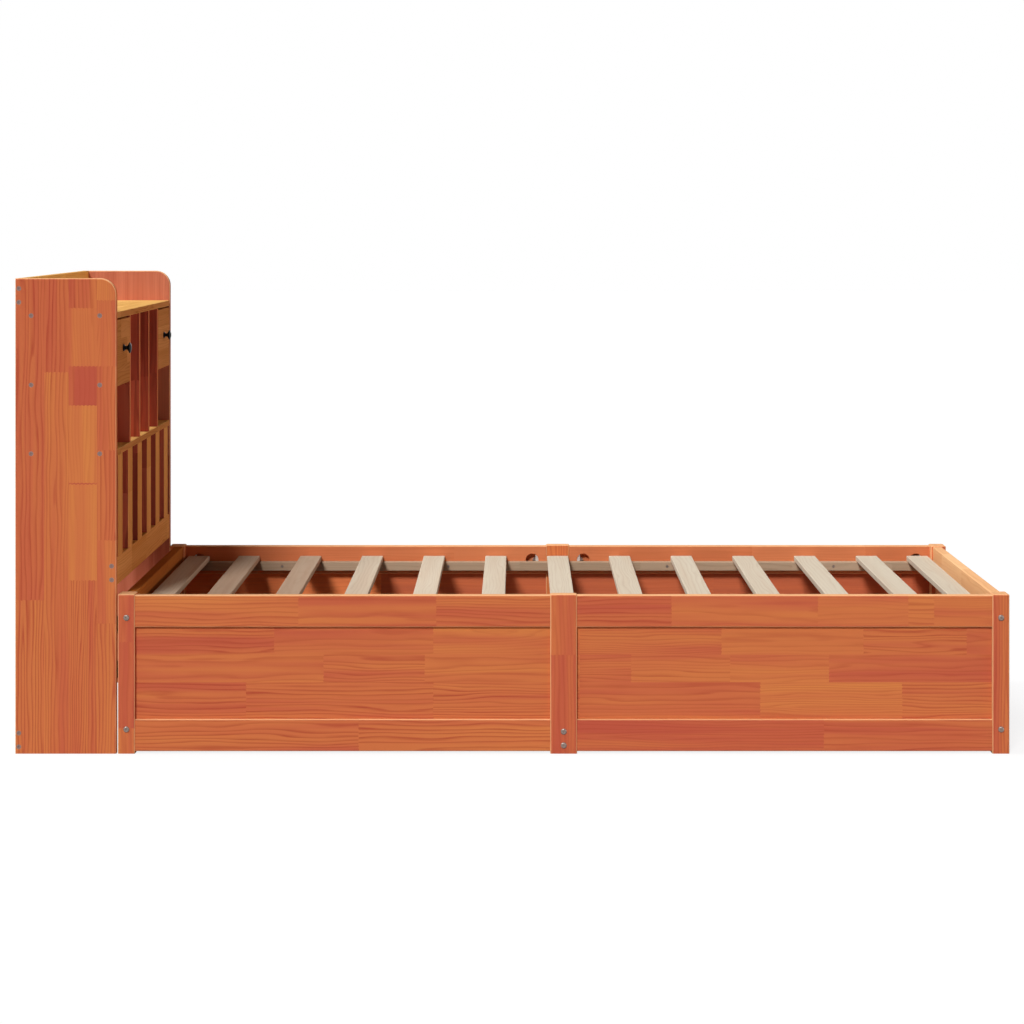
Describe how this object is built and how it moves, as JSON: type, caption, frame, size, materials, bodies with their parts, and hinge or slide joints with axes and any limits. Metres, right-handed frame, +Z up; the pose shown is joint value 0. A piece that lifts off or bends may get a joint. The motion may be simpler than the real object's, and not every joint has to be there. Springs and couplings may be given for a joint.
{
  "type": "bed frame with bookcase headboard",
  "caption": "Single slatted bed frame of stained pine with panelled sides and a bookcase headboard that has open bays and small drawers.",
  "frame": {"origin": "on the floor, under the middle of the whole bed's box", "axes": "+X from the headboard to the foot, +Y to the right as seen from the foot facing the headboard, +Z up"},
  "size_m": [2.308, 0.962, 1.103],
  "materials": {
    "stained_pine": "edge-glued finger-jointed pine, stained honey brown, satin",
    "bare_pine": "planed, unfinished",
    "zinc_steel": "zinc plated",
    "brown_enamel": "satin brown",
    "black_enamel": "satin black"
  },
  "bodies": {
    "frame": {"headboard_side_panel_left": "stained_pine", "headboard_side_panel_right": "stained_pine", "top_shelf": "stained_pine", "lower_shelf": "stained_pine", "drawer_shelf_left": "stained_pine", "drawer_shelf_right": "stained_pine", "divider_1": "stained_pine", "divider_2": "stained_pine", "divider_3": "stained_pine", "divider_4": "stained_pine", "back_top_rail": "stained_pine", "back_bottom_rail": "stained_pine", "front_lower_rail": "stained_pine", "headboard_slats": "stained_pine", "head_post_left": "stained_pine", "head_post_right": "stained_pine", "mid_post_left": "stained_pine", "mid_post_right": "stained_pine", "foot_post_left": "stained_pine", "foot_post_right": "stained_pine", "upper_side_rail_left_head": "stained_pine", "upper_side_rail_left_foot": "stained_pine", "upper_side_rail_right_head": "stained_pine", "upper_side_rail_right_foot": "stained_pine", "lower_side_rails_left": "stained_pine", "lower_side_rails_right": "stained_pine", "side_infill_left": "stained_pine", "side_infill_right": "stained_pine", "upper_head_rail": "stained_pine", "lower_head_rail": "stained_pine", "upper_foot_rail": "stained_pine", "lower_foot_rail": "stained_pine", "head_infill": "stained_pine", "foot_infill": "stained_pine", "centre_cross_rail": "stained_pine", "bed_slats": "bare_pine", "slat_battens_left": "bare_pine", "slat_battens_right": "bare_pine", "headboard_dowels": "bare_pine", "post_bolts": "zinc_steel", "barrel_nuts": "zinc_steel", "rail_bolts": "zinc_steel", "rail_washers": "zinc_steel", "rail_nuts": "zinc_steel", "panel_screws": "zinc_steel", "batten_screws": "zinc_steel", "angle_brackets": "brown_enamel", "bracket_screws": "brown_enamel"},
    "drawer_left": {"drawer_front_left": "stained_pine", "drawer_sides_left": "bare_pine", "drawer_back_left": "bare_pine", "drawer_bottom_left": "bare_pine", "drawer_knob_left": "black_enamel", "drawer_knob_screw_left": "zinc_steel"},
    "drawer_right": {"drawer_front_right": "stained_pine", "drawer_sides_right": "bare_pine", "drawer_back_right": "bare_pine", "drawer_bottom_right": "bare_pine", "drawer_knob_right": "black_enamel", "drawer_knob_screw_right": "zinc_steel"}
  },
  "joints": [
    {"name": "drawer_left_slide", "type": "slide", "parent": "frame", "child": "drawer_left", "axis": [1, 0, 0], "range_m": [0, 0.15]},
    {"name": "drawer_right_slide", "type": "slide", "parent": "frame", "child": "drawer_right", "axis": [1, 0, 0], "range_m": [0, 0.15]}
  ]
}
